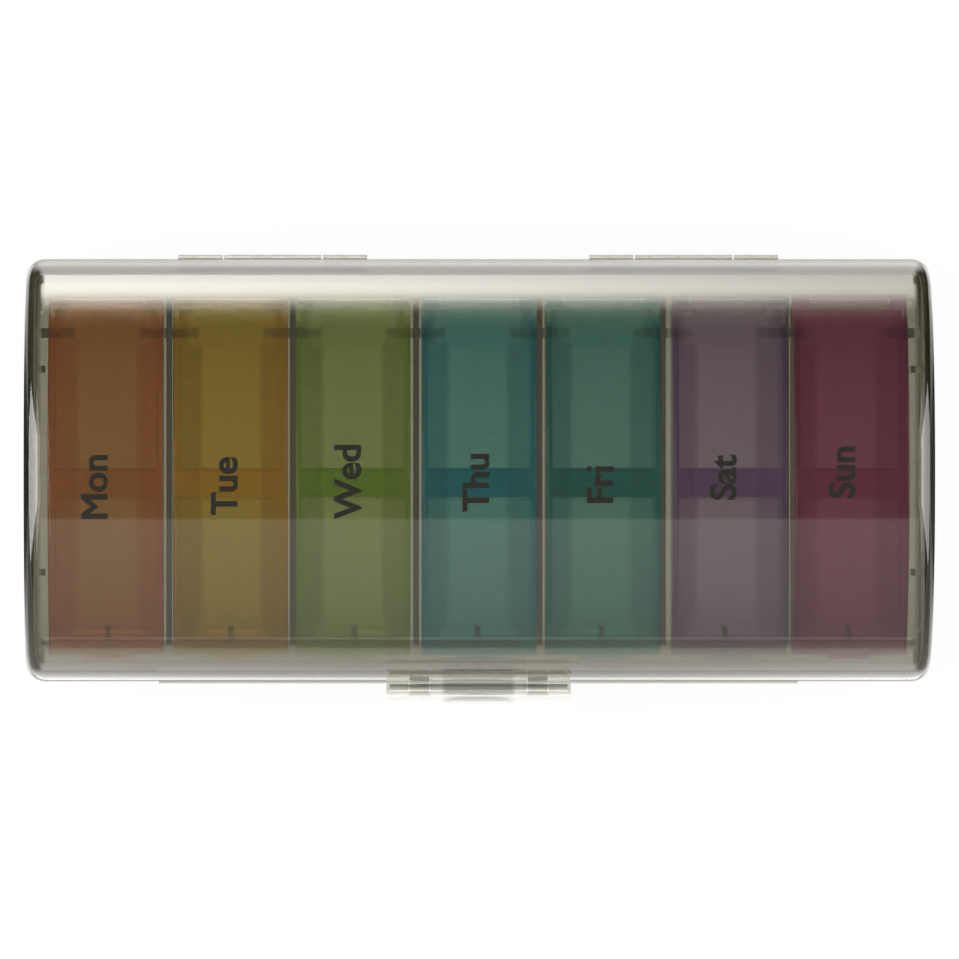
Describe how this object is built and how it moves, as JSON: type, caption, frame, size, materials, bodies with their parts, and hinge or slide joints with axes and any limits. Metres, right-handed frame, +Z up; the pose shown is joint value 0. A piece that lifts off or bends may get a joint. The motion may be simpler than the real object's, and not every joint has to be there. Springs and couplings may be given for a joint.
{
  "type": "weekly pill organizer",
  "caption": "See-through arched case with a hinged lid and front latch, holding a row of tinted day boxes, each with a hinged lid over two pill pockets.",
  "frame": {"origin": "on the table under the middle of the case, on the base's flat underside", "axes": "+X along the row of days from first to last, +Y towards the case hinges, +Z up"},
  "size_m": [0.184, 0.0915, 0.048],
  "materials": {
    "smoke_case": "clear smoke-grey moulded plastic, polished",
    "steel": "plain wire pin",
    "mon_tint": "see-through orange moulded plastic, polished",
    "tue_tint": "see-through yellow moulded plastic, polished",
    "wed_tint": "see-through green moulded plastic, polished",
    "thu_tint": "see-through blue-green moulded plastic, polished",
    "fri_tint": "see-through teal moulded plastic, polished",
    "sat_tint": "see-through purple moulded plastic, polished",
    "sun_tint": "see-through red moulded plastic, polished"
  },
  "bodies": {
    "case": {"case_base": "smoke_case", "case_hinge_pin_left": "steel", "case_hinge_pin_right": "steel", "mon_tray": "mon_tint", "mon_hinge_pin": "steel", "tue_tray": "tue_tint", "tue_hinge_pin": "steel", "wed_tray": "wed_tint", "wed_hinge_pin": "steel", "thu_tray": "thu_tint", "thu_hinge_pin": "steel", "fri_tray": "fri_tint", "fri_hinge_pin": "steel", "sat_tray": "sat_tint", "sat_hinge_pin": "steel", "sun_tray": "sun_tint", "sun_hinge_pin": "steel"},
    "case_lid": {"case_lid": "smoke_case", "latch_pin": "steel"},
    "front_latch": {"front_latch": "smoke_case"},
    "mon_lid": {"mon_lid": "mon_tint"},
    "tue_lid": {"tue_lid": "tue_tint"},
    "wed_lid": {"wed_lid": "wed_tint"},
    "thu_lid": {"thu_lid": "thu_tint"},
    "fri_lid": {"fri_lid": "fri_tint"},
    "sat_lid": {"sat_lid": "sat_tint"},
    "sun_lid": {"sun_lid": "sun_tint"}
  },
  "joints": [
    {"name": "case_lid_hinge", "type": "hinge", "parent": "case", "child": "case_lid", "pos_m": [0, 0.04205, 0.016], "axis": [-1, 0, 0], "range_deg": [0, 120]},
    {"name": "front_latch_turn", "type": "hinge", "parent": "case_lid", "child": "front_latch", "pos_m": [0, -0.04427, 0.02142], "axis": [-1, 0, 0], "range_deg": [0, 80]},
    {"name": "mon_lid_hinge", "type": "hinge", "parent": "case", "child": "mon_lid", "pos_m": [-0.07556, 0.034, 0.02639], "axis": [-1, 0, 0], "range_deg": [0, 90]},
    {"name": "tue_lid_hinge", "type": "hinge", "parent": "case", "child": "tue_lid", "pos_m": [-0.05032, 0.034, 0.02639], "axis": [-1, 0, 0], "range_deg": [0, 90]},
    {"name": "wed_lid_hinge", "type": "hinge", "parent": "case", "child": "wed_lid", "pos_m": [-0.02552, 0.034, 0.02639], "axis": [-1, 0, 0], "range_deg": [0, 90]},
    {"name": "thu_lid_hinge", "type": "hinge", "parent": "case", "child": "thu_lid", "pos_m": [0.00004, 0.034, 0.02639], "axis": [-1, 0, 0], "range_deg": [0, 90]},
    {"name": "fri_lid_hinge", "type": "hinge", "parent": "case", "child": "fri_lid", "pos_m": [0.02516, 0.034, 0.02639], "axis": [-1, 0, 0], "range_deg": [0, 90]},
    {"name": "sat_lid_hinge", "type": "hinge", "parent": "case", "child": "sat_lid", "pos_m": [0.05076, 0.034, 0.02639], "axis": [-1, 0, 0], "range_deg": [0, 90]},
    {"name": "sun_lid_hinge", "type": "hinge", "parent": "case", "child": "sun_lid", "pos_m": [0.07524, 0.034, 0.02639], "axis": [-1, 0, 0], "range_deg": [0, 90]}
  ],
  "couplings": [
    {"joint": "mon_lid_hinge", "follows": "case_lid_hinge", "ratio": 0.75},
    {"joint": "tue_lid_hinge", "follows": "case_lid_hinge", "ratio": 0.75},
    {"joint": "wed_lid_hinge", "follows": "case_lid_hinge", "ratio": 0.75},
    {"joint": "thu_lid_hinge", "follows": "case_lid_hinge", "ratio": 0.75},
    {"joint": "fri_lid_hinge", "follows": "case_lid_hinge", "ratio": 0.75},
    {"joint": "sat_lid_hinge", "follows": "case_lid_hinge", "ratio": 0.75},
    {"joint": "sun_lid_hinge", "follows": "case_lid_hinge", "ratio": 0.75}
  ]
}
